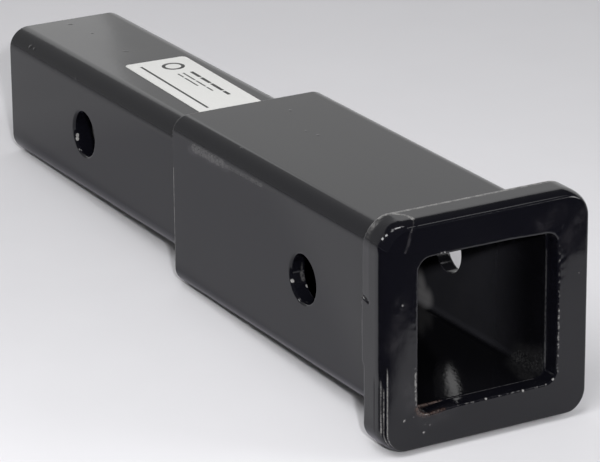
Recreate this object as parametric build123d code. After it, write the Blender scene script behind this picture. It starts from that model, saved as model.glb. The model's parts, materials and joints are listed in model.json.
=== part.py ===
from build123d import *
import os

# Hitch receiver extender, in millimetres.
# +X runs along the tubes towards the mouth, +Z is up, and the origin is the centre of the shank's pin hole.

# Shank: the square tube that slides into the vehicle's receiver
SHANK_SIDE = 50.8
SHANK_WALL = 7.94
SHANK_CORNER_RADIUS = 8.0
SHANK_INSIDE_CORNER_RADIUS = 2.5
SHANK_END_TO_PIN = 64.0
SHANK_OVERLAP = 25.4

# Receiver tube: the square tube that takes another shank
SOCKET_CLEARANCE = 0.5
SOCKET_CORNER_RADIUS = 3.0
TUBE_WALL = 5.85
TUBE_CORNER_RADIUS = 6.5
TUBE_LENGTH = 154.0

# Pin holes, one through each tube
PIN_HOLE_DIAMETER = 17.0
PIN_SPACING = 177.8
PIN_TO_MOUTH = 66.8

# Rounding of the cut ends of both tubes
CUT_EDGE_ROUND = 0.8

# Collar: a bar bent round the front end of the receiver tube
COLLAR_BAR_THICKNESS = 8.2
COLLAR_DEPTH = 14.0
COLLAR_OVERLAP = 8.0
COLLAR_CORNER_RADIUS = 9.5
COLLAR_INNER_CORNER_EASE = 0.5
COLLAR_FRONT_FILLET = 2.5
COLLAR_REAR_FILLET = 0.9

# Mouth weld: fills the collar in front of the tube's end, ground flush with the collar
MOUTH_WELD_WIDTH = 4.95
MOUTH_CORNER_RADIUS = 4.5
MOUTH_EDGE_ROUND = 0.8

# Rear weld: fillet bead round the shank, against the tube's rear end
REAR_WELD_LEG = 6.0
REAR_WELD_MARGIN = 0.6
REAR_WELD_CROWN = 0.6

# Label: paper sticker on the shank's top face
LABEL_LENGTH = 66.7
LABEL_WIDTH = 25.4
LABEL_THICKNESS = 0.15
LABEL_CORNER_RADIUS = 2.0
LABEL_TO_WELD = 8.0
LABEL_OFF_CENTRE = 2.2
LABEL_TURN_DEG = -2.1

# Sections worked out from the sizes above
SOCKET_SIDE = SHANK_SIDE + 2 * SOCKET_CLEARANCE
TUBE_SIDE = SOCKET_SIDE + 2 * TUBE_WALL
COLLAR_SIDE = TUBE_SIDE + 2 * COLLAR_BAR_THICKNESS
MOUTH_SIDE = TUBE_SIDE - 2 * MOUTH_WELD_WIDTH
SHANK_INSIDE_SIDE = SHANK_SIDE - 2 * SHANK_WALL

# Stations along X
MOUTH_X = PIN_SPACING + PIN_TO_MOUTH
COLLAR_REAR_X = MOUTH_X - COLLAR_DEPTH
TUBE_FRONT_X = COLLAR_REAR_X + COLLAR_OVERLAP
TUBE_REAR_X = TUBE_FRONT_X - TUBE_LENGTH
SHANK_REAR_X = -SHANK_END_TO_PIN
SHANK_FRONT_X = TUBE_REAR_X + SHANK_OVERLAP
WELD_TOE_X = TUBE_REAR_X - REAR_WELD_LEG


def square_bar(side, corner_radius, start_x, end_x):
    """Square bar along X with rounded long edges."""
    profile = Plane.YZ.offset(start_x) * RectangleRounded(side, side, corner_radius)
    return extrude(profile, amount=end_x - start_x)


def pin_hole(x, side):
    """Cutter for a pin hole across a tube of the given side."""
    return Pos(x, 0, 0) * Rot(90, 0, 0) * Cylinder(PIN_HOLE_DIAMETER / 2, 2 * side)


def end_edges(solid, place):
    """Edges of a bar's rear end (place 0) or front end (place -1)."""
    return solid.edges().group_by(Axis.X)[place]


def make_shank():
    outside = square_bar(SHANK_SIDE, SHANK_CORNER_RADIUS, SHANK_REAR_X, SHANK_FRONT_X)
    outside = fillet(end_edges(outside, 0), CUT_EDGE_ROUND)
    inside = square_bar(SHANK_INSIDE_SIDE, SHANK_INSIDE_CORNER_RADIUS, SHANK_REAR_X, SHANK_FRONT_X)
    return outside - inside - pin_hole(0, SHANK_SIDE)


def make_receiver_tube():
    outside = square_bar(TUBE_SIDE, TUBE_CORNER_RADIUS, TUBE_REAR_X, TUBE_FRONT_X)
    outside = fillet(end_edges(outside, 0), CUT_EDGE_ROUND)
    socket = square_bar(SOCKET_SIDE, SOCKET_CORNER_RADIUS, TUBE_REAR_X, TUBE_FRONT_X)
    return outside - socket - pin_hole(PIN_SPACING, TUBE_SIDE)


def make_reinforcing_collar():
    ring = square_bar(COLLAR_SIDE, COLLAR_CORNER_RADIUS, COLLAR_REAR_X, MOUTH_X)
    ring = fillet(end_edges(ring, -1), COLLAR_FRONT_FILLET)
    ring = fillet(end_edges(ring, 0), COLLAR_REAR_FILLET)
    inner_radius = TUBE_CORNER_RADIUS - COLLAR_INNER_CORNER_EASE
    return ring - square_bar(TUBE_SIDE, inner_radius, COLLAR_REAR_X, MOUTH_X)


def make_mouth_weld():
    fill = square_bar(TUBE_SIDE, TUBE_CORNER_RADIUS, TUBE_FRONT_X, MOUTH_X)
    ring = fill - square_bar(MOUTH_SIDE, MOUTH_CORNER_RADIUS, TUBE_FRONT_X, MOUTH_X)
    front_face = ring.faces().sort_by(Axis.X)[-1]
    return fillet(front_face.inner_wires()[0].edges(), MOUTH_EDGE_ROUND)


def make_rear_weld():
    """Crowned fillet bead, swept round the shank's outline at the tube's rear end."""
    outline = Plane.YZ.offset(TUBE_REAR_X) * RectangleRounded(SHANK_SIDE, SHANK_SIDE, SHANK_CORNER_RADIUS)
    path = outline.wire()
    start = path @ 0
    along = path % 0
    outward = along.cross(Vector(1, 0, 0))
    if outward.dot(Vector(0, start.Y, start.Z)) < 0:
        outward = -outward
    rearward = Vector(-1, 0, 0)
    leg_on_tube = SOCKET_CLEARANCE + TUBE_WALL - CUT_EDGE_ROUND - REAR_WELD_MARGIN
    tube_toe = start + outward * leg_on_tube
    shank_toe = start + rearward * REAR_WELD_LEG
    face_normal = (outward * REAR_WELD_LEG + rearward * leg_on_tube).normalized()
    crown = (tube_toe + shank_toe) * 0.5 + face_normal * REAR_WELD_CROWN
    edges = [Line(start, tube_toe), ThreePointArc(tube_toe, crown, shank_toe), Line(shank_toe, start)]
    return sweep(make_face(edges), path=path)


def make_label():
    centre_x = WELD_TOE_X - LABEL_TO_WELD - LABEL_LENGTH / 2
    sheet = extrude(RectangleRounded(LABEL_LENGTH, LABEL_WIDTH, LABEL_CORNER_RADIUS), amount=LABEL_THICKNESS)
    return Pos(centre_x, LABEL_OFF_CENTRE, SHANK_SIDE / 2) * Rot(0, 0, LABEL_TURN_DEG) * sheet


PARTS = {
    "shank": make_shank,
    "receiver_tube": make_receiver_tube,
    "reinforcing_collar": make_reinforcing_collar,
    "mouth_weld": make_mouth_weld,
    "rear_weld": make_rear_weld,
    "label": make_label,
}

os.makedirs("parts", exist_ok=True)
for name, make in PARTS.items():
    export_step(make(), f"parts/{name}.step")
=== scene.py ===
import json
import math
import bmesh
import bpy
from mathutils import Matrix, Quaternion, Vector, noise


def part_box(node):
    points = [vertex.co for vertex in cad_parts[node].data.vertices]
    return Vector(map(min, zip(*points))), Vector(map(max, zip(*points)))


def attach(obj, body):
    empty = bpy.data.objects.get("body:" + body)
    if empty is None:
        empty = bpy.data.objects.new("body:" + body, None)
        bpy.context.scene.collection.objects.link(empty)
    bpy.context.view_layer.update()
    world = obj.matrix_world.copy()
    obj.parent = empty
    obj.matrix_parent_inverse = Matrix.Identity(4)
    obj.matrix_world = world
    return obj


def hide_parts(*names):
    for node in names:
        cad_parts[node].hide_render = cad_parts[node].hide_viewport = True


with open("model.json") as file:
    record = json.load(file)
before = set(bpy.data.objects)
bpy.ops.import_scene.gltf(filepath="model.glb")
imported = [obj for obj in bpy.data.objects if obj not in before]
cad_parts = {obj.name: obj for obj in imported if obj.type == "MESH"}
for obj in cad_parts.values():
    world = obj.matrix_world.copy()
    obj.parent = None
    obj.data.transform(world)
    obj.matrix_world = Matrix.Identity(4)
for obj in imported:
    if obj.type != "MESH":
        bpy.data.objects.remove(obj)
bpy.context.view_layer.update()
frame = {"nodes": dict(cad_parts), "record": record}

# Hitch receiver extender: looks, floor, lights and camera.
# Sizes and places are in millimetres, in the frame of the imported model, unless a name says otherwise.
# +X runs along the tubes towards the mouth, -Y is the photo's left, and +Z is up.
MM = 0.001


def box_mm(node):
    """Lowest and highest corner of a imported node."""
    low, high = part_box(node)
    return low / MM, high / MM


def polyline(*places):
    """Path of straight runs through places."""
    return [Vector(place) for place in places]


# Places and sizes read from the frame
SHANK_LOW, SHANK_HIGH = box_mm("shank")
TUBE_LOW, TUBE_HIGH = box_mm("receiver_tube")
COLLAR_LOW, COLLAR_HIGH = box_mm("reinforcing_collar")
WELD_LOW, WELD_HIGH = box_mm("rear_weld")
LABEL_LOW, LABEL_HIGH = box_mm("label")
MOUNTS = {mount["name"]: mount for mount in frame["record"]["mounts"]}
SHANK_SIDE = SHANK_HIGH.y - SHANK_LOW.y
TUBE_SIDE = TUBE_HIGH.y - TUBE_LOW.y
COLLAR_SIDE = COLLAR_HIGH.y - COLLAR_LOW.y
COLLAR_DEPTH = COLLAR_HIGH.x - COLLAR_LOW.x
MOUTH_X = COLLAR_HIGH.x

# Walls, corner radii and rounded edges of the tubes
SHANK_WALL = 7.94
SHANK_CORNER = 8.0
SHANK_INSIDE_CORNER = 2.5
TUBE_WALL = 5.85
TUBE_CORNER = 6.5
SOCKET_CORNER = 3.0
CUT_EDGE_ROUND = 0.8
HOLE_RIM_ROUND = 1.2
HOLE_INSIDE_ROUND = 0.35
SHANK_SECTION = (SHANK_CORNER, SHANK_WALL, SHANK_INSIDE_CORNER)
TUBE_SECTION = (TUBE_CORNER, TUBE_WALL, SOCKET_CORNER)

# Fineness of the tubes' meshes, and the angle above which an edge stays crisp
TUBE_STEP = 12.0
TUBE_CORNER_STEPS = 14
TUBE_SIDE_STEPS = 4
CUT_EDGE_STEPS = 4
HOLE_RIM_STEPS = 5
HOLE_TURNS = 64
TUBE_SHARP_DEG = 40
# How far inside the middle of the wall the inside material begins
INSIDE_MARGIN = 1.0

# Collar, with its reach from the axis to its corners, and the weld ground flush inside it.
# The front edge is rounded by a reach along X and a drop across it
COLLAR_CORNER = 9.5
COLLAR_REACH = COLLAR_SIDE / 2 - COLLAR_CORNER
COLLAR_FRONT_REACH = 6.0
COLLAR_FRONT_DROP = 2.1
COLLAR_REAR_FILLET = 0.9
MOUTH_WELD_WIDTH = 4.95
MOUTH_SIDE = TUBE_SIDE - 2 * MOUTH_WELD_WIDTH
MOUTH_CORNER = 4.5
MOUTH_EDGE_ROUND = 0.8

# Fineness of the collar along X, on small roundings and round its section, and its and the bead's crisp angle
COLLAR_STEP = 0.45
COLLAR_FINE_STEP = 0.25
COLLAR_ROUND_STEP = 0.32
SKIN_SHARP_DEG = 50
# Depth of the skin that counts as the collar's outside
OUTSIDE_BAND = 3.5

# Marks on the collar follow, in places (x from the mouth, y, z). A pair of radii says how far from its path a
# mark is full and where it ends, and changes are (strength, waves per millimetre)

# Butt seam of the bent bar, over the top, round the front edge and down the face
SEAM_TOP = polyline(
    (-14.0, -31.6, 39.9), (-11.4, -28.6, 39.9), (-9.0, -26.9, 39.9), (-6.0, -26.2, 39.9), (-4.4, -26.5, 39.8)
)
SEAM_TOP_RADII = (0.3, 1.1)
# Pale wear along the seam over the top and round the front edge, which also paints the highlight on its ridge
SEAM_TOP_WEAR_AND_HIGHLIGHT = 0.6
SEAM_TOP_CHANGES = (0.4, 0.5)
SEAM_BEND = polyline(
    (-4.4, -26.5, 39.8), (-2.4, -27.4, 39.4), (-1.2, -28.4, 38.8), (-0.3, -29.3, 38.2), (0.0, -29.8, 37.4)
)
SEAM_BEND_RADII = (0.1, 0.5)
SEAM_BEND_WEAR_AND_HIGHLIGHT = 0.45
SEAM_FRONT = polyline((0.0, -29.8, 37.0), (0.0, -30.3, 35.4), (0.0, -30.7, 33.4), (0.0, -31.9, 30.8))
SEAM_FRONT_RADII = (0.15, 0.65)
SEAM_FRONT_HAZE = 1.6
# The top falls away left of the seam: how far, where the fall starts and is full, and where it ends
SEAM_FALL = 0.06
SEAM_FALL_RADII = (0.5, 5.0)
SEAM_FALL_END = 7.9

# Bevel on the upper part of the left side's rear edge, with the -y over which it starts from the seam
BEVEL_FRONT = -9.6
BEVEL_FOOT_Z = 12.8
BEVEL_DEPTH = 0.3
BEVEL_START = (31.0, 37.0)

# Gouge at the foot of the bevel
GOUGE = polyline((-13.9, -39.9, 14.0), (-12.1, -39.9, 12.9), (-9.8, -39.9, 12.2))
GOUGE_RADII = (0.15, 0.7)
GOUGE_DEPTH = 0.45

# Ridges on the lower front left edge, as (degrees round the edge, z of the upper end, degrees round the lower
# left corner at the other end), with the lengths over which they fade out
RIDGES = ((36.0, -10.4, 20.0), (50.0, -13.0, 50.0), (72.0, -6.0, 85.0))
RIDGE_FADE_Z = 5.0
RIDGE_FADE_TURN = 20.0
RIDGE_HEIGHT = 0.12
RIDGE_FLAT_DEG = (1.0, 7.0)
RIDGE_HIGHLIGHT_DEG = (2.0, 7.0)
# Painted highlight on the first ridge, pale as bared metal, what each next one adds, its changes along a
# ridge, drawn apart, and its grain
RIDGE_HIGHLIGHT = 0.45
RIDGE_HIGHLIGHT_STEP = 0.1
RIDGE_WANDER = (0.5, 0.12)
RIDGE_APART = 7.0
RIDGE_GRAIN = (0.2, 1.5)

# Dressing of the lower left corner (depth, middle and reach in degrees round it) and of the bottom edge
# (depth, reach behind the mouth, start in degrees before the bottom), and the inset over which both fade
CORNER_DRESSING = 0.45
CORNER_DRESSING_TURN = 60
CORNER_DRESSING_REACH = (10.0, 60.0)
BOTTOM_DRESSING = 0.5
BOTTOM_DRESSING_REACH = (3.0, 9.0)
BOTTOM_DRESSING_TURN = (0.0, 45.0)
DRESSING_INSET = (0.8, COLLAR_FRONT_DROP)

# Jog in the left side's rear edge: its height, the shifts along X above and below it, and the heights, depths
# from the rear and insets over which they fade
REAR_JOG_Z = (-11.4, -8.8)
REAR_JOG_UP = -0.6
REAR_JOG_DOWN = 0.7
REAR_JOG_ENDS = (COLLAR_SIDE / 2 - 12, COLLAR_SIDE / 2 - 4)
REAR_JOG_REACH = (0.9, 4.0)
REAR_JOG_INSET = (1.5, 4.0)

# Wear along the rear edge, pale enough to paint the edge's highlight too: breadths, reach of the upper left
# corner, strength off the top, mean and changes, and how far it goes round towards the rear face
REAR_WEAR_AND_HIGHLIGHT_SIDE = (0.5, 1.1)
REAR_WEAR_AND_HIGHLIGHT_TOP = (1.4, 2.9)
REAR_WEAR_AND_HIGHLIGHT_CORNER = (3.0, 4.6)
REAR_WEAR_AND_HIGHLIGHT_CORNER_REACH = (4.0, 9.0)
REAR_WEAR_AND_HIGHLIGHT_STRENGTH = 0.7
REAR_WEAR_AND_HIGHLIGHT_MEAN = 0.65
REAR_WEAR_AND_HIGHLIGHT_CHANGES = (0.35, 0.4)
REAR_WEAR_AND_HIGHLIGHT_FACING = (0.6, 0.95)

# Rust, wear (paths with strengths) and chips (x, y, z, strength) on the mouth's edges
LIP_RUST = polyline((-0.1, -27.4, -24.0), (-0.2, -26.4, -26.0), (-0.4, -24.0, -27.0), (-0.6, -17.0, -26.6))
LIP_RUST_RADII = (0.2, 1.4)
LIP_RUST_STRENGTH = 0.7
LIP_WEAR = (
    (polyline((-0.1, 27.4, 22.0), (-0.1, 27.5, -24.0)), 0.2),
    (polyline((-0.1, 27.5, -1.0), (-0.1, 27.5, -14.0)), 0.45),
    (polyline((-0.1, -28.0, -10.0), (-0.1, -27.7, -22.6)), 0.5),
    (polyline((-0.2, -12.0, -27.2), (-0.2, 22.0, -27.2)), 0.1),
    (LIP_RUST, 0.3),
)
LIP_WEAR_RADII = (0.2, 0.7)
LIP_CHANGES = (0.5, 0.8)
LIP_CHIPS = (
    (-0.2, 25.6, -25.7, 1.2), (-0.3, 22.9, -27.0, 0.5), (-0.3, 18.6, -27.2, 0.4), (-0.2, 13.8, -27.3, 1.2),
    (-0.3, 4.5, -27.2, 0.4), (-0.3, -0.6, -27.1, 1.2), (-0.3, -6.5, -27.2, 0.5),
    (-0.1, -18.3, 27.6, 0.7), (-0.1, -17.0, 27.6, 0.8),
)
SPOT_RADII = (0.2, 0.65)

# Rise of the mouth's lower and upper edges, with its ends along y and the heights where it starts, is full,
# starts to fade and ends
LOWER_LIP_RISE = 0.8
LOWER_LIP_LEFT_END = (10.0, 24.0)
UPPER_LIP_RISE = 0.6
UPPER_LIP_MIDDLE_Y = -6
UPPER_LIP_ENDS = (12.0, 30.0)
LIP_BAND = (18.0, 24.0, 27.5, 31.5)

# Specks on the front face, as (x, y, z, strength), and smears of haze
FACE_SPECKS = (
    (0.0, -32.1, -27.3, 1.0), (0.0, -24.7, -33.0, 0.9), (0.0, -28.6, -26.7, 0.4), (0.0, -22.4, -30.8, 0.4),
    (0.0, -24.0, -30.2, 0.4), (0.0, -32.9, 12.9, 0.65), (0.0, 35.1, 11.0, 0.4),
)
FACE_SMEARS = (
    polyline((0.0, 20.0, 30.5), (0.0, 27.0, 33.5)),
    polyline((0.0, 29.0, 22.0), (0.0, 36.0, 31.0)),
    polyline((0.0, -36.5, -1.5), (0.0, -33.0, 13.5)),
    polyline((0.0, -24.0, -29.0), (0.0, -14.0, -28.0)),
    polyline((0.0, -31.5, -15.0), (0.0, -29.5, -22.0)),
)
SMEAR_RADII = (0.5, 4.5)
SMEAR_HAZE = 0.45

# Unevenness of the skin, as (depth, waves per millimetre): bending, rolling and, by the mouth, grinding
BENDING_WAVES = (0.09, 0.07)
ROLLING_WAVES = (0.02, 0.22)
GRINDING_WAVES = (0.07, 0.5)
GRINDING_BREADTH = (0.8, 4.5)
GRINDING_REACH = (2.0, 4.0)

# Marks on the tubes: start, end, radius of the full mark, radius where it ends, strength
SHANK_NIBS = (
    ((-57.1, -2.3, 25.4), (-56.6, -2.0, 25.4), 0.3, 1.0, 1.0),
    ((-41.5, -0.3, 25.4), (-41.2, -0.3, 25.4), 0.2, 0.7, 0.8),
    ((-13.7, -0.5, 25.4), (-12.6, 0.5, 25.4), 0.1, 0.6, 0.8),
    ((-47.9, -24.1, 21.8), (-47.4, -24.0, 22.1), 0.3, 1.1, 0.8),
    ((-44.4, -24.0, 21.9), (-44.0, -24.0, 22.0), 0.2, 0.8, 0.7),
    ((-6.4, -24.8, 20.5), (-5.8, -24.8, 20.6), 0.2, 0.9, 0.7),
)
TUBE_NIBS = (
    ((127.4, -26.9, 31.5), (127.7, -26.8, 31.5), 0.2, 0.6, 1.0),
    ((100.1, 7.9, 31.7), (100.6, 7.9, 31.7), 0.2, 0.8, 0.6),
    ((123.2, 1.1, 31.7), (123.6, 1.1, 31.7), 0.2, 0.7, 0.4),
    ((129.4, 2.4, 31.7), (129.9, 2.4, 31.7), 0.2, 0.8, 0.5),
)
TUBE_RUST = (
    ((85.2, -24.5, 31.4), (85.4, -19.5, 31.5), 0.2, 1.0, 0.6),
    ((238.4, -24.5, -26.2), (238.4, -15.0, -26.2), 0.3, 1.4, 0.75),
)
# Painted sheen: a pale streak of haze along the receiver's upper left side, where light is mirrored
TUBE_SHEEN = (((98.0, -31.7, 23.4), (126.0, -31.7, 24.2), 0.5, 2.4, 1.0),)
# Wear, with painted glints and light on the pin hole's rim and wall, a painted highlight along the rear edge
# and a painted sheen on the upper left side
TUBE_WEAR_AND_HIGHLIGHTS = (
    # Painted glints and painted light on the pin hole's rim and wall
    ((169.4, -27.2, 2.6), (169.5, -27.1, -0.6), 0.1, 1.0, 0.32),
    ((169.6, -27.2, -1.2), (170.2, -27.0, -3.2), 0.3, 1.5, 0.38),
    ((169.6, -31.1, -3.1), (169.7, -31.0, -3.4), 0.25, 0.8, 1.5),
    ((171.3, -26.3, -5.3), (171.4, -26.3, -5.6), 0.2, 0.6, 1.5),
    # Painted highlight along the rear edge
    ((85.15, -31.7, 12.5), (85.15, -31.7, -25.0), 0.2, 0.7, 0.8),
    ((85.15, -31.6, 21.0), (85.15, -29.8, 28.8), 0.1, 0.6, 0.5),
    ((85.15, -29.8, 28.8), (85.0, -25.0, 31.6), 0.1, 0.6, 0.6),
    ((85.0, -25.0, 31.6), (85.0, -8.0, 31.6), 0.1, 0.6, 0.7),
    # Painted sheen, pale along the upper left side
    ((101.0, -31.75, 24.7), (122.0, -31.75, 24.9), 0.8, 3.0, 0.36),
    ((122.0, -31.75, 24.9), (150.0, -31.75, 25.3), 0.4, 1.6, 0.3),
    ((238.4, -12.0, -26.2), (238.4, 22.0, -26.2), 0.1, 0.6, 0.3),
    ((238.4, 26.2, 19.0), (238.4, 26.2, -21.0), 0.1, 0.6, 0.28),
)
# Painted glints: pale chips on the shank's pin hole rim
SHANK_RIM_GLINTS = (
    ((-8.1, -24.1, -2.8), (-8.0, -24.1, -3.1), 0.35, 0.8, 1.5),
    ((-7.6, -24.4, -4.0), (-7.5, -24.4, -4.3), 0.35, 0.8, 1.5),
)

# Marks inside the receiver, in the same order
# Painted pool of light on the far wall, from light through the near pin hole
INSIDE_LIGHT_PATCH = (
    ((159.0, 25.9, -15.5), (162.0, 25.9, -20.5), 0.2, 5.0, 0.85),
    ((160.5, 25.9, -21.5), (165.0, 25.9, -22.0), 0.2, 5.5, 0.95),
)
INSIDE_DUST = (
    ((224.0, 25.9, -24.0), (236.0, 25.9, -21.0), 1.0, 7.0, 0.24),
    ((224.0, 24.0, -25.9), (236.0, 21.0, -25.9), 1.0, 5.0, 0.16),
)

# Label on the shank: its turn, its print as bars (from u, to u, from v, to v) in its own frame, and a ring
# (u, v, inner radius, outer radius)
LABEL_TURN_DEG = -2.1
LABEL_BARS = (
    (-14.0, -6.5, 5.4, 6.8), (-5.5, 2.0, 5.4, 6.8), (3.0, 12.5, 5.4, 6.8), (13.5, 18.0, 5.4, 6.8),
    (-14.0, -4.0, 2.4, 3.1), (-3.0, 5.0, 2.4, 3.1), (6.0, 11.0, 2.4, 3.1),
    (-14.0, -9.0, 0.2, 0.9), (-8.0, 3.0, 0.2, 0.9),
    (-28.5, 28.5, -8.4, -7.4),
)
LABEL_RING = (-23.5, 3.2, 3.0, 4.4)

# Bead of the rear weld: its crown, its rows across, and its ripples, which lean at the belly and wander
WELD_CROWN = 0.6
WELD_ROWS = 10
WELD_RIPPLE = 2.5
WELD_RIPPLE_DEPTH = 0.22
WELD_RIPPLE_LEAN = 0.45
WELD_RIPPLE_WANDER = (0.3, 0.15)

# Paint outside: colours, and the roughness of the gloss and what bared metal adds to it
PAINT_COLOURS = ((0.003, 0.003, 0.005, 1), (0.0045, 0.0045, 0.0065, 1))
HAZE_AND_SHEEN_COLOUR = (0.022, 0.021, 0.024, 1)
# Pale colour of bared metal, which also paints highlights and glints
BARED_AND_HIGHLIGHT_COLOUR = (0.24, 0.235, 0.23, 1)
RUST_COLOUR = (0.075, 0.047, 0.038, 1)
GLOSS_ROUGHNESS = (0.08, 0.13)
BARED_ROUGHNESS = 0.4
PAINT_IOR = 1.45

# Paint inside the receiver: the depths behind the mouth beyond which the walls are fully painted paler for
# the light that falls on them, and within which they stay glossy black, and the heights above the socket's
# floor where the floor ends and the wall starts
INSIDE_LIT_DEPTHS = (48, 14)
INSIDE_WALL_START = (0.1, 1.6)
INSIDE_GLOSS_COLOUR = (0.0035, 0.0035, 0.0045, 1)
INSIDE_LIT_WALL_COLOURS = ((0.028, 0.028, 0.033, 1), (0.042, 0.042, 0.049, 1))
INSIDE_LIGHT_PATCH_COLOUR = (0.24, 0.235, 0.24, 1)
DUST_COLOUR = (0.12, 0.12, 0.12, 1)
INSIDE_ROUGHNESS = (0.1, 0.26)

# Scale inside the shank, the label's paper and its ink
SCALE_COLOURS = ((0.006, 0.0055, 0.005, 1), (0.02, 0.016, 0.013, 1))
PAPER_COLOURS = ((0.70, 0.70, 0.685, 1), (0.78, 0.78, 0.765, 1))
INK_COLOURS = ((0.02, 0.02, 0.02, 1), (0.05, 0.05, 0.05, 1))

# Floor, with the half of its side, and the surroundings
FLOOR_HALF = 6000.0
FLOOR_COLOURS = ((0.72, 0.715, 0.74, 1), (0.75, 0.745, 0.77, 1))
FLOOR_ROUGHNESS = 0.9
WORLD_COLOUR = (0.05, 0.05, 0.05, 1)

# Camera of the photo
CAMERA_PLACE = Vector((1147.0, -583.8, 421.75))
CAMERA_AIM = Vector((120.6, 0.0, -6.3))
CAMERA_ROLL_DEG = -0.47
CAMERA_LENS = 212.2
CAMERA_CLIP_M = (0.01, 100)
SENSOR_WIDTH = 36.0

# Lamps: name, place, the point that it faces, width, height, watts
LAMPS = (
    ("back_wall", (-830, 750, 345), (90, 0, 345), 3000, 760, 4.7),
    ("back_left_panel", (-989, -292, 400), (104, -73, 100), 1750, 1100, 2.23),
    ("top_softbox", (-130, 5, 850), (180, -60, -40), 300, 100, 0.9),
    ("left_low_softbox", (-210, -547, 351), (240, -37, 36), 90, 90, 0.28),
    ("left_high_softbox", (-150, -457, 516), (240, -37, 36), 90, 90, 0.28),
    ("left_top_lamp", (-140, -240, 748), (240, -37, 36), 170, 110, 0.22),
    ("top_right_lamp", (-120, 250, 840), (240, -37, 36), 150, 70, 0.13),
    ("front_softbox", (420, -330, 520), (300, -100, -40), 400, 400, 2.75),
    ("camera_fill", (1380, -590, 595), (90, 0, 0), 60, 60, 13.0),
    ("right_lamp", (250, 441, 821), (240, 0, 40), 120, 120, 0.09),
    ("right_softbox", (800, 800, 420), (350, 100, -40), 500, 500, 4.5),
)
# Lamps that light the scene without being mirrored in the paint
UNMIRRORED_LAMPS = ("front_softbox", "camera_fill")

# Dark ground in front, which only reflections show: its edge on the floor from left to right (x from the
# mouth, y), its reach from that edge, its lift and its tone
CARD_EDGE = ((-850, -911), (-20, -56), (103, 30), (145, 133), (531, 1067))
CARD_REACH = (1500, -900)
CARD_LIFT = 0.2
CARD_TONE = 0.01

# Shade of the floor under the part, which only reflections show. Each station has its x from the mouth, its
# strength and four half widths, and the shares of shade at those widths follow
STRIP_STATIONS = (
    (-345, 0.0, 34, 40, 146, 160),
    (-300, 1.0, 34, 40, 130, 144),
    (-60, 1.0, 41, 46, 47, 58),
    (-1, 1.0, 42, 46, 47, 50),
)
STRIP_SHARES = (1.0, 0.5, 0.5, 0.0)
STRIP_LIFT = 0.1
STRIP_COLOUR = (0.458, 0.452, 0.49, 1)
STRIP_OUTSIDE_COLOUR = tuple((first + second) / 2 for first, second in zip(*FLOOR_COLOURS))

# Edges that the part rests on, and the fall of the floor under it along X
REST_REAR = Vector((SHANK_LOW.x + CUT_EDGE_ROUND, 0, SHANK_LOW.z))
REST_FRONT = Vector((COLLAR_LOW.x + COLLAR_REAR_FILLET, 0, COLLAR_LOW.z))
FLOOR_FALL = (REST_REAR.z - REST_FRONT.z) / (REST_FRONT.x - REST_REAR.x)

# Directions round a square section, corner by corner from +Y towards +Z
CORNER_SIGNS = ((1, 1), (-1, 1), (-1, -1), (1, -1))
QUARTER = math.pi / 2


def steps_for(length, step=COLLAR_STEP):
    """How many steps of about the given size a length takes."""
    return max(2, round(length / step))


def section_ring(x, side, radius, corner_steps, side_steps):
    """Points round a rounded square that stands across X."""
    reach = side / 2 - radius
    arcs = []
    for corner, (sign_y, sign_z) in enumerate(CORNER_SIGNS):
        angles = [(corner + step / corner_steps) * QUARTER for step in range(corner_steps + 1)]
        centre = Vector((x, sign_y * reach, sign_z * reach))
        arcs.append([centre + radius * Vector((0, math.cos(a), math.sin(a))) for a in angles])
    points = []
    for corner in range(4):
        points += arcs[corner]
        start, end = arcs[corner][-1], arcs[(corner + 1) % 4][0]
        points += [start.lerp(end, step / side_steps) for step in range(1, side_steps)]
    return points


def closed_loft(name, rings):
    """Mesh through rings of equally many points, the last ring joined to the first."""
    columns = len(rings[0])
    vertices = [point * MM for points in rings for point in points]
    faces = []
    for row in range(len(rings)):
        here = row * columns
        there = (row + 1) % len(rings) * columns
        for column in range(columns):
            beside = (column + 1) % columns
            faces.append((here + column, here + beside, there + beside, there + column))
    mesh = bpy.data.meshes.new(name)
    mesh.from_pydata(vertices, [], faces)
    face_outwards(mesh)
    return mesh


def face_outwards(mesh):
    work = bmesh.new()
    work.from_mesh(mesh)
    bmesh.ops.recalc_face_normals(work, faces=work.faces)
    work.to_mesh(mesh)
    work.free()


def add_object(name, mesh):
    piece = bpy.data.objects.new(name, mesh)
    bpy.context.scene.collection.objects.link(piece)
    return piece


def smooth(piece, sharp_degrees):
    """Smooth shading, with edges sharper than the angle kept crisp."""
    piece.data.shade_smooth()
    piece.data.set_sharp_from_angle(angle=math.radians(sharp_degrees))


def eased_profile(rear_x, front_x, outer, inner):
    """Points (x, half side) round a tube's wall, with all four edges eased."""
    ease = CUT_EDGE_ROUND
    corners = (
        (rear_x + ease, outer - ease, 2),
        (front_x - ease, outer - ease, 1),
        (front_x - ease, inner + ease, 4),
        (rear_x + ease, inner + ease, 3),
    )
    arcs = []
    for centre_x, centre_half, quarter in corners:
        centre = Vector((centre_x, centre_half))
        angles = [(quarter - step / CUT_EDGE_STEPS) * QUARTER for step in range(CUT_EDGE_STEPS + 1)]
        arcs.append([centre + ease * Vector((math.cos(a), math.sin(a))) for a in angles])
    profile = []
    for order, arc in enumerate(arcs):
        start, end = arc[-1], arcs[(order + 1) % 4][0]
        count = steps_for((end - start).length, TUBE_STEP)
        profile += arc
        profile += [start.lerp(end, step / count) for step in range(1, count)]
    return profile


def tube_mesh(name, low, high, section):
    """Square tube along X between two corners of its box, with all four end edges eased."""
    outer_corner, wall, inner_corner = section
    outer = (high.y - low.y) / 2
    inner = outer - wall
    rings = []
    for x, half in eased_profile(low.x, high.x, outer, inner):
        outside = half > (outer + inner) / 2
        radius = outer_corner - (outer - half) if outside else inner_corner + (half - inner)
        rings.append(section_ring(x, 2 * half, radius, TUBE_CORNER_STEPS, TUBE_SIDE_STEPS))
    return closed_loft(name, rings)


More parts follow.
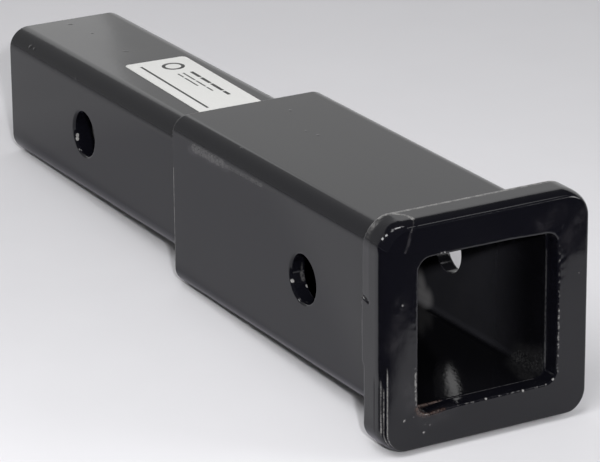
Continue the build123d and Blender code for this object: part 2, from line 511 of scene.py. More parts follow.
def hole_profile(radius, outer, inner):
    """Points (y, radius) of a pin hole's cutter from the axis outwards, flared on both sides of the wall."""
    angles = [step / HOLE_RIM_STEPS * QUARTER for step in range(HOLE_RIM_STEPS + 1)]
    profile = [(0.0, radius + HOLE_INSIDE_ROUND)]
    for angle in angles:
        y = inner + HOLE_INSIDE_ROUND * math.sin(angle)
        profile.append((y, radius + HOLE_INSIDE_ROUND * (1 - math.sin(angle)) ** 2))
    for angle in angles:
        y = outer - HOLE_RIM_ROUND + HOLE_RIM_ROUND * math.sin(angle)
        profile.append((y, radius + HOLE_RIM_ROUND * (1 - math.cos(angle))))
    profile.append((outer + HOLE_RIM_ROUND, radius + HOLE_RIM_ROUND))
    return profile


def pin_hole_cutter(mount, outer_side, wall):
    """Round cutter across the tube, flared where it leaves the wall so that the hole's rims are rounded."""
    centre_x = mount["pos_m"][0] / MM
    half_profile = hole_profile(mount["dims"]["r_mm"], outer_side / 2, outer_side / 2 - wall)
    profile = [(-y, r) for y, r in reversed(half_profile[1:])] + half_profile
    angles = [turn / HOLE_TURNS * math.tau for turn in range(HOLE_TURNS)]
    work = bmesh.new()
    circles = []
    for y, r in profile:
        places = [Vector((centre_x + r * math.cos(a), y, r * math.sin(a))) * MM for a in angles]
        circles.append([work.verts.new(place) for place in places])
    for here, there in zip(circles, circles[1:]):
        for turn in range(HOLE_TURNS):
            beside = (turn + 1) % HOLE_TURNS
            work.faces.new((here[turn], here[beside], there[beside], there[turn]))
    work.faces.new(circles[0])
    work.faces.new(circles[-1])
    bmesh.ops.recalc_face_normals(work, faces=work.faces)
    mesh = bpy.data.meshes.new("pin_hole")
    work.to_mesh(mesh)
    work.free()
    return add_object("pin_hole", mesh)


def cut(piece, cutter):
    """Takes the cutter out of the piece for good, and the cutter out of the scene."""
    boolean = piece.modifiers.new("pin_hole", "BOOLEAN")
    boolean.operation = "DIFFERENCE"
    boolean.solver = "EXACT"
    boolean.object = cutter
    evaluated = piece.evaluated_get(bpy.context.evaluated_depsgraph_get())
    mesh = bpy.data.meshes.new_from_object(evaluated)
    piece.modifiers.clear()
    piece.data = mesh
    bpy.data.objects.remove(cutter)


def link(tree, value, socket):
    """Feeds a socket from another node, or sets it where the value is plain."""
    if isinstance(value, bpy.types.NodeSocket):
        tree.links.new(value, socket)
    else:
        socket.default_value = value


def maths(tree, operation, first, second=0.0, clamp=False):
    node = tree.nodes.new("ShaderNodeMath")
    node.operation = operation
    node.use_clamp = clamp
    link(tree, first, node.inputs[0])
    link(tree, second, node.inputs[1])
    return node.outputs[0]


def blend_colours(tree, share, first, second):
    node = tree.nodes.new("ShaderNodeMix")
    node.data_type = "RGBA"
    link(tree, share, node.inputs["Factor"])
    link(tree, first, node.inputs["A"])
    link(tree, second, node.inputs["B"])
    return node.outputs["Result"]


def spread(tree, value, low, high, to_low, to_high):
    """Maps a range onto another smoothly, and stops at its ends."""
    node = tree.nodes.new("ShaderNodeMapRange")
    node.interpolation_type = "SMOOTHSTEP"
    link(tree, value, node.inputs["Value"])
    node.inputs["From Min"].default_value = low
    node.inputs["From Max"].default_value = high
    node.inputs["To Min"].default_value = to_low
    node.inputs["To Max"].default_value = to_high
    return node.outputs["Result"]


def noise_value(tree, coords, size_mm, detail=3.0, roughness=0.5):
    """Noise whose features are about the given size."""
    node = tree.nodes.new("ShaderNodeTexNoise")
    link(tree, coords, node.inputs["Vector"])
    node.inputs["Scale"].default_value = 1 / (size_mm * MM)
    node.inputs["Detail"].default_value = detail
    node.inputs["Roughness"].default_value = roughness
    return node.outputs["Fac"]


def new_material(name):
    material = bpy.data.materials.new(name)
    material.use_nodes = True
    tree = material.node_tree
    shader = tree.nodes["Principled BSDF"]
    coords = tree.nodes.new("ShaderNodeTexCoord").outputs["Object"]
    return material, tree, shader, coords


def bump(tree, shader, layers):
    """Chains bumps of (height, depth in mm) into the shader's normal."""
    normal = None
    for height, depth_mm in layers:
        node = tree.nodes.new("ShaderNodeBump")
        node.inputs["Distance"].default_value = depth_mm * MM
        link(tree, height, node.inputs["Height"])
        if normal is not None:
            tree.links.new(normal, node.inputs["Normal"])
        normal = node.outputs["Normal"]
    tree.links.new(normal, shader.inputs["Normal"])


def attribute(tree, name):
    """A value noted on the mesh, 0 where it has none."""
    node = tree.nodes.new("ShaderNodeAttribute")
    node.attribute_name = name
    return node.outputs["Fac"]


def vector_maths(tree, operation, first, second):
    node = tree.nodes.new("ShaderNodeVectorMath")
    node.operation = operation
    link(tree, first, node.inputs[0])
    link(tree, second, node.inputs[1])
    return node.outputs["Value" if operation in ("DOT_PRODUCT", "DISTANCE") else "Vector"]


def line_mark(tree, coords, start, end, inner, outer, strength):
    """The strength on a line between two places, fading out from the inner to the outer radius."""
    run = Vector(end) - Vector(start)
    offset = vector_maths(tree, "SUBTRACT", coords, Vector(start) * MM)
    share = vector_maths(tree, "DOT_PRODUCT", offset, run / run.length_squared / MM)
    share = maths(tree, "ADD", share, 0.0, clamp=True)
    foot = tree.nodes.new("ShaderNodeVectorMath")
    foot.operation = "SCALE"
    foot.inputs[0].default_value = run * MM
    tree.links.new(share, foot.inputs["Scale"])
    distance = vector_maths(tree, "DISTANCE", offset, foot.outputs["Vector"])
    return spread(tree, distance, inner * MM, outer * MM, strength, 0.0)


def marks(tree, coords, name, lines):
    """What the mesh notes under a name, joined with the lines' marks."""
    value = attribute(tree, name)
    for line in lines:
        value = maths(tree, "MAXIMUM", value, line_mark(tree, coords, *line))
    return value


def make_paint(name, wear_and_highlight_lines=(), rust_lines=(), haze_and_sheen_lines=(), nib_lines=()):
    """Gloss black paint over steel, worn through to pale metal on ridges, with a little rust and haze; the
    same pale and haze also paint highlights, glints and a sheen where the lines say.
    """
    material, tree, shader, coords = new_material(name)
    clouds = noise_value(tree, coords, 30.0)
    peel = noise_value(tree, coords, 1.6, detail=1.0)
    grain = noise_value(tree, coords, 0.35, detail=2.0)
    speckle = noise_value(tree, coords, 0.7, roughness=0.7)
    patchy = noise_value(tree, coords, 3.0, roughness=0.6)
    wear_and_highlight = marks(tree, coords, "wear_and_highlight", wear_and_highlight_lines)
    wear_and_highlight = maths(tree, "MULTIPLY", wear_and_highlight, spread(tree, speckle, 0.3, 0.55, 0.35, 1.0))
    wear_and_highlight = spread(tree, wear_and_highlight, 0.1, 0.9, 0.0, 1.0)
    rust = marks(tree, coords, "rust", rust_lines)
    rust = maths(tree, "MULTIPLY", rust, spread(tree, speckle, 0.3, 0.65, 0.0, 1.0))
    haze = marks(tree, coords, "haze", haze_and_sheen_lines)
    haze = maths(tree, "MULTIPLY", haze, spread(tree, patchy, 0.35, 0.65, 0.15, 1.0))
    nibs = marks(tree, coords, "nib", nib_lines)
    colour = blend_colours(tree, clouds, *PAINT_COLOURS)
    # Haze, which on the receiver also paints a sheen
    colour = blend_colours(tree, haze, colour, HAZE_AND_SHEEN_COLOUR)
    # Pale bared metal, which also paints highlights and glints
    colour = blend_colours(tree, wear_and_highlight, colour, BARED_AND_HIGHLIGHT_COLOUR)
    colour = blend_colours(tree, rust, colour, RUST_COLOUR)
    link(tree, colour, shader.inputs["Base Color"])
    bared = maths(tree, "MAXIMUM", wear_and_highlight, rust)
    gloss = spread(tree, clouds, 0.3, 0.7, *GLOSS_ROUGHNESS)
    roughness = maths(tree, "ADD", maths(tree, "MULTIPLY", bared, BARED_ROUGHNESS), gloss)
    link(tree, roughness, shader.inputs["Roughness"])
    shader.inputs["IOR"].default_value = PAINT_IOR
    bump(tree, shader, ((peel, 0.006), (grain, 0.0015), (bared, 0.02), (nibs, 0.12)))
    return material


def inside_painted_light(tree, coords):
    """Where the receiver's inside is wall, and where that wall is painted paler deep in, for the light that
    falls there.
    """
    place = tree.nodes.new("ShaderNodeSeparateXYZ")
    tree.links.new(coords, place.inputs["Vector"])
    low, high = [(TUBE_WALL - TUBE_SIDE / 2 + rise) * MM for rise in INSIDE_WALL_START]
    on_wall = spread(tree, place.outputs["Z"], low, high, 0.0, 1.0)
    lit_x, unlit_x = [(MOUTH_X - depth) * MM for depth in INSIDE_LIT_DEPTHS]
    lit_deep = spread(tree, place.outputs["X"], lit_x, unlit_x, 1.0, 0.0)
    return on_wall, maths(tree, "MULTIPLY", on_wall, lit_deep)


def make_inside_paint():
    """Black paint inside the receiver, glossy on the floor and by the mouth, rougher and dusty deep in, where
    the walls are painted paler for the light that falls on them, with a painted pool of light on the far
    wall.
    """
    material, tree, shader, coords = new_material("inside_paint")
    on_wall, painted_light = inside_painted_light(tree, coords)
    clouds = noise_value(tree, coords, 14.0)
    dust = noise_value(tree, coords, 0.8, roughness=0.7)
    runs = noise_value(tree, coords, 1.3, detail=2.0)
    bare = marks(tree, coords, "bare", INSIDE_LIGHT_PATCH)
    dusty = marks(tree, coords, "dust", INSIDE_DUST)
    specks = maths(tree, "MULTIPLY", dusty, spread(tree, dust, 0.35, 0.7, 0.1, 1.0))
    grit = maths(tree, "MULTIPLY", on_wall, spread(tree, dust, 0.68, 0.76, 0.0, 0.25))
    specks = maths(tree, "MAXIMUM", specks, grit)
    lit_walls = blend_colours(tree, clouds, *INSIDE_LIT_WALL_COLOURS)
    # Painted light: the walls deep in are paler than the floor and than the walls by the mouth
    colour = blend_colours(tree, painted_light, INSIDE_GLOSS_COLOUR, lit_walls)
    # Painted pool of light on the far wall
    colour = blend_colours(tree, bare, colour, INSIDE_LIGHT_PATCH_COLOUR)
    colour = blend_colours(tree, specks, colour, DUST_COLOUR)
    link(tree, colour, shader.inputs["Base Color"])
    link(tree, spread(tree, painted_light, 0.0, 1.0, *INSIDE_ROUGHNESS), shader.inputs["Roughness"])
    shader.inputs["IOR"].default_value = PAINT_IOR
    bump(tree, shader, ((runs, 0.03), (dust, 0.01)))
    return material


def make_bare_inside():
    """Dark scale on the unpainted inside of the shank."""
    material, tree, shader, coords = new_material("dark_scale")
    scale = noise_value(tree, coords, 2.2, detail=4.0, roughness=0.65)
    link(tree, blend_colours(tree, scale, *SCALE_COLOURS), shader.inputs["Base Color"])
    link(tree, spread(tree, scale, 0.3, 0.7, 0.6, 0.8), shader.inputs["Roughness"])
    shader.inputs["Specular IOR Level"].default_value = 0.2
    bump(tree, shader, ((scale, 0.03),))
    return material


def within(tree, value, low, high):
    """1 where a length lies between two others in millimetres, and 0 elsewhere."""
    node = tree.nodes.new("ShaderNodeMath")
    node.operation = "COMPARE"
    link(tree, value, node.inputs[0])
    node.inputs[1].default_value = (low + high) / 2 * MM
    node.inputs[2].default_value = (high - low) / 2 * MM
    return node.outputs[0]


def label_print(tree, coords):
    """Plain bars and a ring, laid out in the label's own turned frame."""
    own = tree.nodes.new("ShaderNodeMapping")
    own.vector_type = "TEXTURE"
    own.inputs["Location"].default_value = (LABEL_LOW + LABEL_HIGH) / 2 * MM
    own.inputs["Rotation"].default_value = (0, 0, math.radians(LABEL_TURN_DEG))
    tree.links.new(coords, own.inputs["Vector"])
    place = tree.nodes.new("ShaderNodeSeparateXYZ")
    tree.links.new(own.outputs["Vector"], place.inputs["Vector"])
    u, v = place.outputs["X"], place.outputs["Y"]
    ring_u, ring_v, inner, outer = LABEL_RING
    radius = vector_maths(tree, "DISTANCE", own.outputs["Vector"], Vector((ring_u, ring_v, 0)) * MM)
    ink = within(tree, radius, inner, outer)
    for low_u, high_u, low_v, high_v in LABEL_BARS:
        bar = maths(tree, "MULTIPLY", within(tree, u, low_u, high_u), within(tree, v, low_v, high_v))
        ink = maths(tree, "MAXIMUM", ink, bar)
    return ink


def make_paper():
    """Matte white sticker paper with plain dark print."""
    material, tree, shader, coords = new_material("label_paper")
    fibre = noise_value(tree, coords, 0.6)
    paper = blend_colours(tree, fibre, *PAPER_COLOURS)
    ink = blend_colours(tree, fibre, *INK_COLOURS)
    link(tree, blend_colours(tree, label_print(tree, coords), paper, ink), shader.inputs["Base Color"])
    link(tree, spread(tree, fibre, 0.3, 0.7, 0.45, 0.6), shader.inputs["Roughness"])
    bump(tree, shader, ((fibre, 0.004),))
    return material


def make_tube(name, low, high, section, mount, outside, inside):
    """Square tube with its pin hole, and with a material on each side of its wall."""
    wall = section[1]
    side = high.y - low.y
    piece = add_object(name, tube_mesh(name, low, high, section))
    cut(piece, pin_hole_cutter(MOUNTS[mount], side, wall))
    piece.data.materials.clear()
    piece.data.materials.append(outside)
    piece.data.materials.append(inside)
    limit = (side - wall) / 2 - INSIDE_MARGIN
    for face in piece.data.polygons:
        half = max(abs(face.center.y), abs(face.center.z)) / MM
        face.material_index = 1 if half < limit and abs(face.normal.x) < 0.5 else 0
    smooth(piece, TUBE_SHARP_DEG)
    weighted = piece.modifiers.new("flat_faces_stay_flat", "WEIGHTED_NORMAL")
    weighted.keep_sharp = True
    return piece


def mouth_rows():
    """Rows (x, side, corner radius) from the hidden seat on the tube, along the mouth and round its edge."""
    rows = [(COLLAR_LOW.x, TUBE_SIDE, TUBE_CORNER), (TUBE_HIGH.x, TUBE_SIDE, TUBE_CORNER)]
    wall_end = MOUTH_X - MOUTH_EDGE_ROUND
    count = steps_for(wall_end - TUBE_HIGH.x)
    for step in range(count):
        x = TUBE_HIGH.x + (wall_end - TUBE_HIGH.x) * step / count
        rows.append((x, MOUTH_SIDE, MOUTH_CORNER))
    count = steps_for(MOUTH_EDGE_ROUND * QUARTER, COLLAR_FINE_STEP)
    for step in range(count):
        angle = step / count * QUARTER
        grow = MOUTH_EDGE_ROUND * (1 - math.cos(angle))
        x = wall_end + MOUTH_EDGE_ROUND * math.sin(angle)
        rows.append((x, MOUTH_SIDE + 2 * grow, MOUTH_CORNER + grow))
    return rows


def front_rows():
    """Rows across the collar's front face and round its front edge."""
    inner_side = MOUTH_SIDE + 2 * MOUTH_EDGE_ROUND
    inner_radius = MOUTH_CORNER + MOUTH_EDGE_ROUND
    outer_side = COLLAR_SIDE - 2 * COLLAR_FRONT_DROP
    outer_radius = COLLAR_CORNER - COLLAR_FRONT_DROP
    rows = []
    count = steps_for((outer_side - inner_side) / 2)
    for step in range(count):
        share = step / count
        side = inner_side + (outer_side - inner_side) * share
        rows.append((MOUTH_X, side, inner_radius + (outer_radius - inner_radius) * share))
    count = steps_for(COLLAR_FRONT_REACH + COLLAR_FRONT_DROP, COLLAR_FINE_STEP)
    for step in range(count):
        angle = step / count * QUARTER
        grow = COLLAR_FRONT_DROP * math.sin(angle)
        x = MOUTH_X - COLLAR_FRONT_REACH * (1 - math.cos(angle))
        rows.append((x, outer_side + 2 * grow, outer_radius + grow))
    return rows


def outside_rows():
    """Rows along the collar's outside and round its rear edge."""
    front = MOUTH_X - COLLAR_FRONT_REACH
    rear = COLLAR_LOW.x + COLLAR_REAR_FILLET
    count = steps_for(front - rear)
    rows = [(front + (rear - front) * step / count, COLLAR_SIDE, COLLAR_CORNER) for step in range(count)]
    count = steps_for(COLLAR_REAR_FILLET * QUARTER)
    for step in range(count + 1):
        angle = step / count * QUARTER
        shrink = COLLAR_REAR_FILLET * (1 - math.cos(angle))
        x = rear - COLLAR_REAR_FILLET * math.sin(angle)
        rows.append((x, COLLAR_SIDE - 2 * shrink, COLLAR_CORNER - shrink))
    return rows


def fade(distance, inner, outer):
    """1 up to the inner distance, 0 from the outer one, and a smooth step between."""
    share = min(1.0, max(0.0, (outer - distance) / (outer - inner)))
    return share * share * (3 - 2 * share)


def drift(place, strength, pitch):
    """Smooth change about 0, with so many waves in a millimetre."""
    return strength * noise.noise(place * pitch)


def path_distance(place, path):
    """Distance to a path of straight runs, and the offset from the nearest place on it with that run."""
    best = None
    for start, end in zip(path, path[1:]):
        run = end - start
        share = min(1.0, max(0.0, (place - start).dot(run) / run.length_squared))
        offset = place - start - share * run
        if best is None or offset.length < best[0]:
            best = (offset.length, offset, run)
    return best


def near(place, path, reach):
    """Whether a place is in the box round a path, to skip the exact distance elsewhere."""
    for i in range(3):
        along = [point[i] for point in path]
        if not min(along) - reach < place[i] < max(along) + reach:
            return False
    return True


def path_share(place, path, radii):
    """1 on a path and 0 away from it, fading between two radii."""
    if not near(place, path, radii[1]):
        return 0.0
    return fade(path_distance(place, path)[0], *radii)


def seam_marks(place, normal):
    """The bar's butt seam: sink, wear that also paints the ridge's highlight, and haze of a thin ridge with
    the surface falling away on its left.
    """
    sink = wear_and_highlight = 0.0
    if near(place, SEAM_TOP, SEAM_FALL_END):
        distance, offset, run = path_distance(place, SEAM_TOP)
        if normal.cross(run).dot(offset) < 0:
            fallen = 1 - fade(distance, *SEAM_FALL_RADII)
            sink = SEAM_FALL * fallen * fade(distance, SEAM_FALL_RADII[1], SEAM_FALL_END)
        wear_and_highlight = fade(distance, *SEAM_TOP_RADII) * (SEAM_TOP_WEAR_AND_HIGHLIGHT + drift(place, *SEAM_TOP_CHANGES))
    wear_and_highlight = max(wear_and_highlight, SEAM_BEND_WEAR_AND_HIGHLIGHT * path_share(place, SEAM_BEND, SEAM_BEND_RADII))
    haze = SEAM_FRONT_HAZE * path_share(place, SEAM_FRONT, SEAM_FRONT_RADII)
    return sink, wear_and_highlight, haze


def corner_turn(place):
    """Degrees round the lower left corner, 0 on the left side and 90 on the bottom."""
    left, down = -place.y - COLLAR_REACH, -place.z - COLLAR_REACH
    return math.degrees(math.atan2(max(0.0, down), max(0.0, left)))


def inset(place):
    """How far a place lies inside the collar's left side, lower left corner or bottom."""
    left, down = -place.y - COLLAR_REACH, -place.z - COLLAR_REACH
    if left > 0 and down > 0:
        return COLLAR_CORNER - math.hypot(left, down)
    return COLLAR_CORNER - max(left, down)


def ridge_highlight_strength(place, order):
    """Pale highlight painted on a ridge, which changes along it and from ridge to ridge."""
    strength, pitch = RIDGE_WANDER
    wander = strength * noise.noise(Vector((RIDGE_APART * order, 0, place.z * pitch)))
    return max(0.0, RIDGE_HIGHLIGHT + RIDGE_HIGHLIGHT_STEP * order + wander + drift(place, *RIDGE_GRAIN))


def left_ridge_marks(place):
    """Lower front left edge, dressed in flats: sink of its ridges and the highlight painted on them, and push
    to a flatter front.
    """
    forward = (place.x + COLLAR_FRONT_REACH) / COLLAR_FRONT_REACH
    sideways = 1 - inset(place) / COLLAR_FRONT_DROP
    if forward < 0 or sideways < -0.05:
        return 0.0, 0.0, 0.0
    angle = math.degrees(math.atan2(forward, max(sideways, 0.001)))
    order = min(range(len(RIDGES)), key=lambda i: abs(RIDGES[i][0] - angle))
    ridge_angle, top_z, end_turn = RIDGES[order]
    share = fade(place.z, top_z - RIDGE_FADE_Z, top_z)
    share *= fade(corner_turn(place), end_turn - RIDGE_FADE_TURN, end_turn)
    off_ridge = abs(angle - ridge_angle)
    wear_and_highlight = share * ridge_highlight_strength(place, order) * fade(off_ridge, *RIDGE_HIGHLIGHT_DEG)
    if angle > RIDGES[-1][0]:
        return 0.0, wear_and_highlight, -place.x * share
    return share * RIDGE_HEIGHT * (1 - fade(off_ridge, *RIDGE_FLAT_DEG)), wear_and_highlight, 0.0


def low_dressing(place):
    """How far the lower left corner and the front of the bottom edge are dressed back."""
    turn = corner_turn(place)
    at_corner = CORNER_DRESSING * fade(abs(turn - CORNER_DRESSING_TURN), *CORNER_DRESSING_REACH)
    at_front = BOTTOM_DRESSING * fade(-place.x, *BOTTOM_DRESSING_REACH)
    at_front *= fade(90 - turn, *BOTTOM_DRESSING_TURN)
    return max(at_corner, at_front) * fade(inset(place), *DRESSING_INSET)


def bevel_sink(place):
    """Depth of the bevel on the left side's rear edge."""
    if place.x >= BEVEL_FRONT or place.z <= BEVEL_FOOT_Z:
        return 0.0
    from_seam = 1 - fade(-place.y, *BEVEL_START)
    return BEVEL_DEPTH * from_seam * (BEVEL_FRONT - place.x) / (BEVEL_FRONT + COLLAR_DEPTH)


def rear_jog(place):
    """Shift along X of the left side's rear edge, which has a jog."""
    if place.y >= 0:
        return 0.0
    low = fade(place.z, *REAR_JOG_Z)
    shift = REAR_JOG_UP + (REAR_JOG_DOWN - REAR_JOG_UP) * low
    along_edge = fade(abs(place.z), *REAR_JOG_ENDS)
    at_rear = fade(place.x + COLLAR_DEPTH, *REAR_JOG_REACH)
    return shift * along_edge * at_rear * fade(inset(place), *REAR_JOG_INSET)


def rear_edge_wear_and_highlight(place, normal):
    """Paint rubbed thin along the collar's rear edge, broader on top and at the upper left corner, pale
    enough to paint the edge's highlight too.
    """
    from_rear = place.x + COLLAR_DEPTH
    if place.z > COLLAR_SIDE / 2 - 1:
        rubbed_and_highlit = fade(from_rear, *REAR_WEAR_AND_HIGHLIGHT_TOP)
    else:
        rubbed_and_highlit = REAR_WEAR_AND_HIGHLIGHT_STRENGTH * fade(from_rear, *REAR_WEAR_AND_HIGHLIGHT_SIDE)
    at_corner = fade(COLLAR_SIDE - place.z + place.y, *REAR_WEAR_AND_HIGHLIGHT_CORNER_REACH)
    rubbed_and_highlit = max(rubbed_and_highlit, REAR_WEAR_AND_HIGHLIGHT_STRENGTH * at_corner * fade(from_rear, *REAR_WEAR_AND_HIGHLIGHT_CORNER))
    changing = REAR_WEAR_AND_HIGHLIGHT_MEAN + drift(place, *REAR_WEAR_AND_HIGHLIGHT_CHANGES)
    return rubbed_and_highlit * changing * fade(-normal.x, *REAR_WEAR_AND_HIGHLIGHT_FACING)


def spot_marks(place, spots):
    """Wear of small round spots, each a place and a strength."""
    return max(spot[3] * fade((place - Vector(spot[:3])).length, *SPOT_RADII) for spot in spots)


def lip_marks(place):
    """Wear on the mouth's edges."""
    wear_and_highlight = spot_marks(place, LIP_CHIPS)
    for lip, strength in LIP_WEAR:
        share = path_share(place, lip, LIP_WEAR_RADII)
        if share > 0:
            wear_and_highlight = max(wear_and_highlight, share * (strength + drift(place, *LIP_CHANGES)))
    return wear_and_highlight


def lip_band(height):
    """1 round the mouth's edge at a height from the axis, fading out inside and outside it."""
    starts, full, fades, ends = LIP_BAND
    return fade(-height, -full, -starts) * fade(height, fades, ends)


def lip_rise(place):
    """How far the mouth's lower edge, right of its left corner, and its upper edge sit above the square."""
    lower = LOWER_LIP_RISE * fade(-place.y, *LOWER_LIP_LEFT_END) * lip_band(-place.z)
    upper = UPPER_LIP_RISE * fade(abs(place.y - UPPER_LIP_MIDDLE_Y), *UPPER_LIP_ENDS) * lip_band(place.z)
    return lower + upper


def smear_haze(place):
    """Haze of the smears on the front face."""
    return SMEAR_HAZE * max(path_share(place, smear, SMEAR_RADII) for smear in FACE_SMEARS)


def waves(place, depth, pitch):
    """Depth of slow waves, from 0 to the given depth."""
    return depth / 2 + drift(place, depth / 2, pitch)


def unevenness(place, half):
    """Slow waves left by bending and rolling, with finer ones where the weld was ground."""
    at_lip = fade(half - MOUTH_SIDE / 2, *GRINDING_BREADTH) * fade(-place.x, *GRINDING_REACH)
    ground = at_lip * waves(place, *GRINDING_WAVES)
    return waves(place, *BENDING_WAVES) + waves(place, *ROLLING_WAVES) + ground


def sculpt_place(place, normal):
    """Where a place on the collar's skin moves to, and the wear with its painted highlights, rust and haze
    there.
    """
    half = max(abs(place.y), abs(place.z))
    sink, seam_wear_and_highlight, seam_haze = seam_marks(place, normal)
    ridge_sink, ridge_highlight, push = left_ridge_marks(place)
    sink += ridge_sink + low_dressing(place) + GOUGE_DEPTH * path_share(place, GOUGE, GOUGE_RADII)
    sink += unevenness(place, half)
    wear_and_highlight = max(seam_wear_and_highlight, ridge_highlight, spot_marks(place, FACE_SPECKS), lip_marks(place))
    if half > COLLAR_SIDE / 2 - OUTSIDE_BAND:
        sink += bevel_sink(place)
        wear_and_highlight = max(wear_and_highlight, rear_edge_wear_and_highlight(place, normal))
    shift = Vector((push + rear_jog(place), 0, lip_rise(place)))
    rust = LIP_RUST_STRENGTH * path_share(place, LIP_RUST, LIP_RUST_RADII)
    haze = max(seam_haze, smear_haze(place))
    return place - sink * normal + shift, (wear_and_highlight, rust, haze)


def sculpt_collar(mesh):
    """Sinks the marks of bending, welding and grinding into the skin, and notes wear with painted highlights,
    rust and haze on it.
    """
    front = Vector((MOUTH_X, 0, 0))
    sculpted = [sculpt_place(vertex.co / MM - front, vertex.normal) for vertex in mesh.vertices]
    for vertex, (place, notes) in zip(mesh.vertices, sculpted):
        vertex.co = (place + front) * MM
    for order, name in enumerate(("wear_and_highlight", "rust", "haze")):
        shares = [notes[order] for place, notes in sculpted]
        mesh.attributes.new(name, "FLOAT", "POINT").data.foreach_set("value", shares)


def make_collar(paint):
    """Collar and the weld ground flush with it, as one dense skin."""
    corner_steps = steps_for(COLLAR_CORNER * QUARTER, COLLAR_ROUND_STEP)
    side_steps = steps_for(COLLAR_SIDE - 2 * COLLAR_CORNER, COLLAR_ROUND_STEP)
    rows = mouth_rows() + front_rows() + outside_rows()
    rings = [section_ring(x, side, radius, corner_steps, side_steps) for x, side, radius in rows]
    piece = add_object("collar_visual", closed_loft("collar_visual", rings))
    sculpt_collar(piece.data)
    piece.data.materials.append(paint)
    smooth(piece, SKIN_SHARP_DEG)
    return piece


def rippled(skin, root, belly):
    """Ring of the bead's skin with ripples sunk towards its root, deepest at the belly."""
    if belly == 0:
        return skin
    outline = 4 * (SHANK_SIDE - 2 * SHANK_CORNER + SHANK_CORNER * QUARTER)
    ripples = round(outline / WELD_RIPPLE)
    ring = []
    for column, (place, below) in enumerate(zip(skin, root)):
        lean = WELD_RIPPLE_LEAN * belly + drift(place, *WELD_RIPPLE_WANDER)
        phase = column / len(skin) * ripples + lean
        sink = WELD_RIPPLE_DEPTH * belly * (1 - abs(math.sin(math.pi * phase)))
        ring.append(place + sink * (below - place).normalized())
    return ring


def make_rear_weld(paint):
    """Fillet bead round the shank at the tube's rear end, with the ripples of the weld sunk into it."""
    leg_back = TUBE_LOW.x - WELD_LOW.x
    leg_out = (WELD_HIGH.y - WELD_LOW.y - SHANK_SIDE) / 2
    slope = Vector((leg_out, leg_back)).normalized()
    steps = (steps_for(SHANK_CORNER * QUARTER), steps_for(SHANK_SIDE - 2 * SHANK_CORNER))
    root = section_ring(TUBE_LOW.x, SHANK_SIDE, SHANK_CORNER, *steps)
    rings = [root]
    for row in range(WELD_ROWS + 1):
        share = row / WELD_ROWS
        belly = 4 * share * (1 - share)
        back, out = Vector((leg_back * share, leg_out * (1 - share))) + WELD_CROWN * belly * slope
        skin = section_ring(TUBE_LOW.x - back, SHANK_SIDE + 2 * out, SHANK_CORNER + out, *steps)
        rings.append(rippled(skin, root, belly))
    piece = add_object("rear_weld_visual", closed_loft("rear_weld_visual", rings))
    piece.data.materials.append(paint)
    smooth(piece, SKIN_SHARP_DEG)
    return piece


def make_floor():
    """Pale floor under the two edges that the part rests on."""
    mesh = bpy.data.meshes.new("floor")
    signs = ((-1, -1), (1, -1), (1, 1), (-1, 1))
    corners = [Vector((sign_x * FLOOR_HALF, sign_y * FLOOR_HALF, 0)) * MM for sign_x, sign_y in signs]
    mesh.from_pydata(corners, [], [(0, 1, 2, 3)])
    floor = add_object("floor", mesh)
    floor.location = (REST_REAR + REST_FRONT) / 2 * MM
    floor.rotation_euler = (0, math.atan(FLOOR_FALL), 0)
    material, tree, shader, coords = new_material("pale_floor")
    clouds = noise_value(tree, coords, 40.0, detail=2.0)
    link(tree, blend_colours(tree, clouds, *FLOOR_COLOURS), shader.inputs["Base Color"])
    shader.inputs["Roughness"].default_value = FLOOR_ROUGHNESS
    shader.inputs["Specular IOR Level"].default_value = 0.0
    mesh.materials.append(material)


def add_area_lamp(name, place, aim, width, height, watts):
    lamp = bpy.data.lights.new(name, "AREA")
    lamp.shape = "RECTANGLE"
    lamp.size = width * MM
    lamp.size_y = height * MM
    lamp.energy = watts
    holder = bpy.data.objects.new(name, lamp)
    holder.location = place * MM
    holder.rotation_euler = (aim - place).to_track_quat("-Z", "Y").to_euler()
    bpy.context.scene.collection.objects.link(holder)
    return holder


def floor_point(from_mouth, y, lift):
    """Point a little above the floor, with x counted from the mouth."""
    x = MOUTH_X + from_mouth
    floor_z = REST_FRONT.z - FLOOR_FALL * (x - REST_FRONT.x)
    return Vector((x, y, floor_z + lift)) * MM


def add_card(name, corners, faces):
    """Matt card on the floor, which only reflections show."""
    mesh = bpy.data.meshes.new(name)
    mesh.from_pydata(corners, [], faces)
    card = add_object(name, mesh)
    for ray in ("visible_camera", "visible_diffuse", "visible_shadow", "visible_transmission"):
        setattr(card, ray, False)
    material, tree, shader, coords = new_material(name)
    shader.inputs["Roughness"].default_value = 1.0
    shader.inputs["Specular IOR Level"].default_value = 0.0
    mesh.materials.append(material)
    return mesh, tree, shader


def make_dark_card():
    """Dark ground that the front face mirrors."""
    outline = list(CARD_EDGE) + [(x + CARD_REACH[0], y + CARD_REACH[1]) for x, y in CARD_EDGE]
    corners = [floor_point(x, y, CARD_LIFT) for x, y in outline]
    count = len(CARD_EDGE)
    faces = [(i, i + 1, count + i + 1, count + i) for i in range(count - 1)]
    mesh, tree, shader = add_card("dark_card", corners, faces)
    shader.inputs["Base Color"].default_value = (CARD_TONE, CARD_TONE, CARD_TONE, 1)


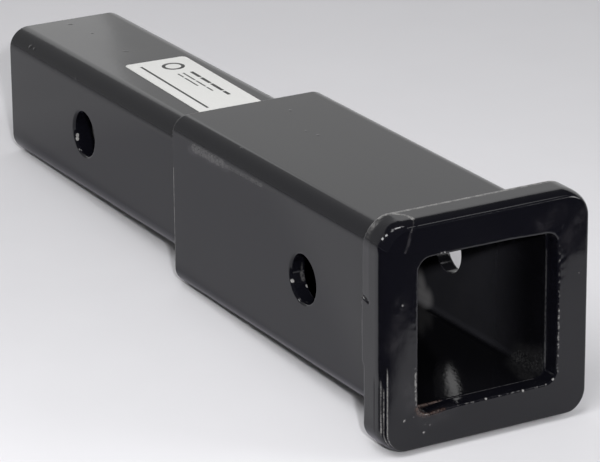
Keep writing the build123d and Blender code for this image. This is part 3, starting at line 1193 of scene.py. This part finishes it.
def make_shaded_strip():
    """Shade of the floor under the part, which fades out at both borders."""
    corners = []
    shares = []
    for x, strength, *half_widths in STRIP_STATIONS:
        right = [(y, strength * share) for y, share in zip(half_widths, STRIP_SHARES)]
        left = [(-y, share) for y, share in reversed(right)]
        corners += [floor_point(x, y, STRIP_LIFT) for y, share in left + right]
        shares += [share for y, share in left + right]
    across = 2 * len(STRIP_SHARES)
    faces = []
    for start in range(0, len(corners) - across, across):
        faces += [(i, i + 1, i + 1 + across, i + across) for i in range(start, start + across - 1)]
    mesh, tree, shader = add_card("shaded_strip", corners, faces)
    mesh.attributes.new("shaded", "FLOAT", "POINT").data.foreach_set("value", shares)
    colour = blend_colours(tree, attribute(tree, "shaded"), STRIP_OUTSIDE_COLOUR, STRIP_COLOUR)
    link(tree, colour, shader.inputs["Base Color"])


def make_lights():
    """Soft studio light: a wall and a panel behind, lamps round the part, and a fill by the camera."""
    for name, place, aim, width, height, watts in LAMPS:
        lamp = add_area_lamp(name, Vector(place), Vector(aim), width, height, watts)
        lamp.visible_glossy = name not in UNMIRRORED_LAMPS
    world = bpy.data.worlds.new("studio")
    world.use_nodes = True
    world.node_tree.nodes["Background"].inputs["Color"].default_value = WORLD_COLOUR
    bpy.context.scene.world = world


def make_camera():
    data = bpy.data.cameras.new("camera")
    data.sensor_fit = "HORIZONTAL"
    data.sensor_width = SENSOR_WIDTH
    data.lens = CAMERA_LENS
    data.clip_start, data.clip_end = CAMERA_CLIP_M
    camera = bpy.data.objects.new("camera", data)
    camera.location = CAMERA_PLACE * MM
    level = (CAMERA_AIM - CAMERA_PLACE).to_track_quat("-Z", "Y")
    roll = Quaternion((0, 0, 1), math.radians(CAMERA_ROLL_DEG))
    camera.rotation_euler = (level @ roll).to_euler()
    bpy.context.scene.collection.objects.link(camera)
    bpy.context.scene.camera = camera


paint = make_paint("black_paint")
shank_paint = make_paint("shank_paint", SHANK_RIM_GLINTS, nib_lines=SHANK_NIBS)
tube_paint = make_paint("tube_paint", TUBE_WEAR_AND_HIGHLIGHTS, TUBE_RUST, TUBE_SHEEN, TUBE_NIBS)
paper = make_paper()
dark_scale = make_bare_inside()
shank = make_tube(
    "shank_visual", SHANK_LOW, SHANK_HIGH, SHANK_SECTION, "shank_pin_hole", shank_paint, dark_scale
)
inside_paint = make_inside_paint()
receiver_tube = make_tube(
    "receiver_tube_visual", TUBE_LOW, TUBE_HIGH, TUBE_SECTION, "receiver_pin_hole", tube_paint, inside_paint
)
collar = make_collar(paint)
rear_weld = make_rear_weld(paint)
for piece, nodes in (
    (shank, ("shank",)),
    (receiver_tube, ("receiver_tube",)),
    (collar, ("reinforcing_collar", "mouth_weld")),
    (rear_weld, ("rear_weld",)),
):
    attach(piece, "root")
    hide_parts(*nodes)
label = frame["nodes"]["label"]
label.data.materials.clear()
label.data.materials.append(paper)
make_floor()
make_dark_card()
make_shaded_strip()
make_lights()
make_camera()
bpy.context.scene.view_settings.view_transform = "Standard"
